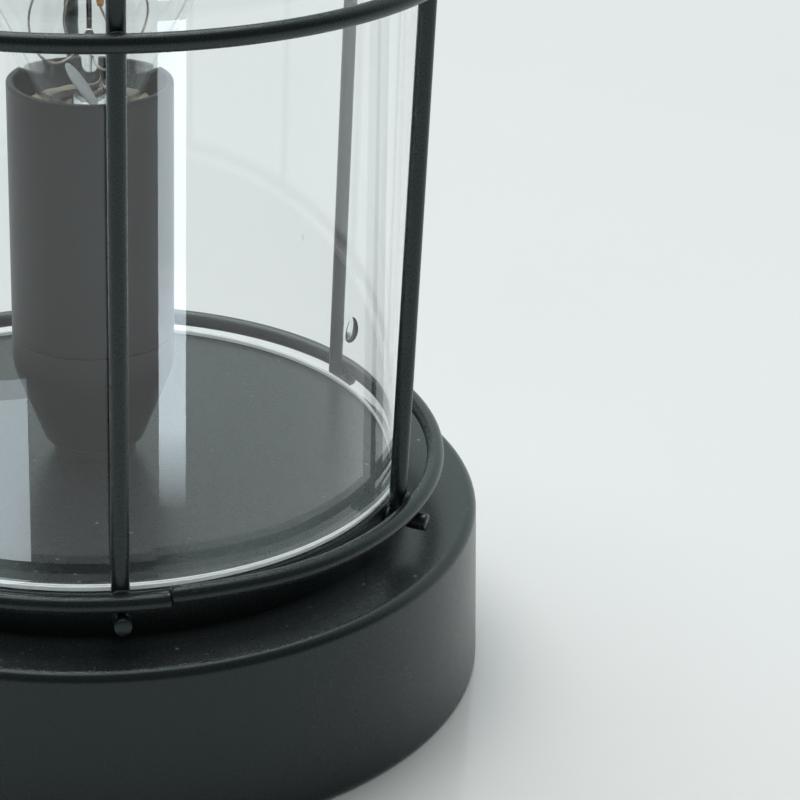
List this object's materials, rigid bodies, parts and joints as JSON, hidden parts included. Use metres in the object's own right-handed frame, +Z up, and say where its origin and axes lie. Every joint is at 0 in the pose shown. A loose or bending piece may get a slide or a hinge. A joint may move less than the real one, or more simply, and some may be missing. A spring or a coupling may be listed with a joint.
{
  "type": "table lamp",
  "caption": "Lantern table lamp: drum base with raised platform, lift-out clear glass cylinder in a welded wire cage, and a small screw lampholder with a clear filament bulb.",
  "frame": {"origin": "on the table, under the middle of the base", "axes": "+Z up along the lamp's axis, -Y towards the front of the picture, +X to its right; the cord inlet is at the back, +Y"},
  "size_m": [0.138, 0.1394, 0.2262],
  "materials": {
    "black_powder_coat": "satin black powder coat, fine grain",
    "black_plastic": "matte black moulded plastic",
    "clear_glass": "clear drawn soda glass",
    "bulb_glass": "clear thin blown glass",
    "nickel": "nickel plate",
    "zinc": "zinc plate",
    "brass": "plain brass",
    "cast_iron": "rough casting",
    "rubber": "matte black rubber",
    "ceramic": "white steatite",
    "black_ceramic": "dark vitrite",
    "white_plastic": "white moulded plastic",
    "potting": "beige potting compound",
    "brown_insulation": "brown wire insulation",
    "blue_insulation": "blue wire insulation",
    "phosphor": "yellow phosphor coat"
  },
  "bodies": {
    "lamp_body": {"base_shell": "black_powder_coat", "base_plate": "black_powder_coat", "plate_posts": "zinc", "plate_screws": "zinc", "rubber_feet": "rubber", "ballast_ring": "cast_iron", "cord_grommet": "rubber", "terminal_block": "white_plastic", "clamp_screws": "brass", "block_screw": "zinc", "threaded_tube": "zinc", "toothed_washer": "zinc", "lock_nut": "zinc", "spacer_ring": "black_plastic", "holder_cap": "black_plastic", "holder_sleeve": "black_plastic", "holder_core": "ceramic", "thread_shell": "brass", "centre_contact": "brass", "terminal_posts": "brass", "lead_live": "brown_insulation", "lead_neutral": "blue_insulation", "cage_wire_1": "black_powder_coat", "cage_wire_2": "black_powder_coat", "cage_wire_3": "black_powder_coat", "cage_wire_4": "black_powder_coat", "cage_wire_5": "black_powder_coat", "cage_wire_6": "black_powder_coat", "cage_ring_lower": "black_powder_coat", "cage_ring_middle": "black_powder_coat", "cage_ring_top": "black_powder_coat"},
    "glass": {"glass_cylinder": "clear_glass"},
    "bulb_contact": {"bulb_tip": "nickel"},
    "bulb": {"bulb_insulator": "black_ceramic", "bulb_screw_cap": "nickel", "bulb_driver": "potting", "bulb_globe": "bulb_glass", "bulb_stem": "bulb_glass", "filaments": "phosphor", "support_wires": "nickel"}
  },
  "joints": [
    {"name": "glass_lift", "type": "slide", "parent": "lamp_body", "child": "glass", "axis": [0, 0, 1], "range_m": [0, 0.19]},
    {"name": "bulb_lift", "type": "slide", "parent": "lamp_body", "child": "bulb_contact", "axis": [0, 0, 1], "range_m": [0, 0.0113]},
    {"name": "bulb_turn", "type": "hinge", "parent": "bulb_contact", "child": "bulb", "pos_m": [0, 0, 0.09], "axis": [0, 0, 1], "range_deg": [0, 1440]}
  ],
  "couplings": [
    {"joint": "bulb_lift", "follows": "bulb_turn", "m_per_rad": 0.00044882}
  ]
}
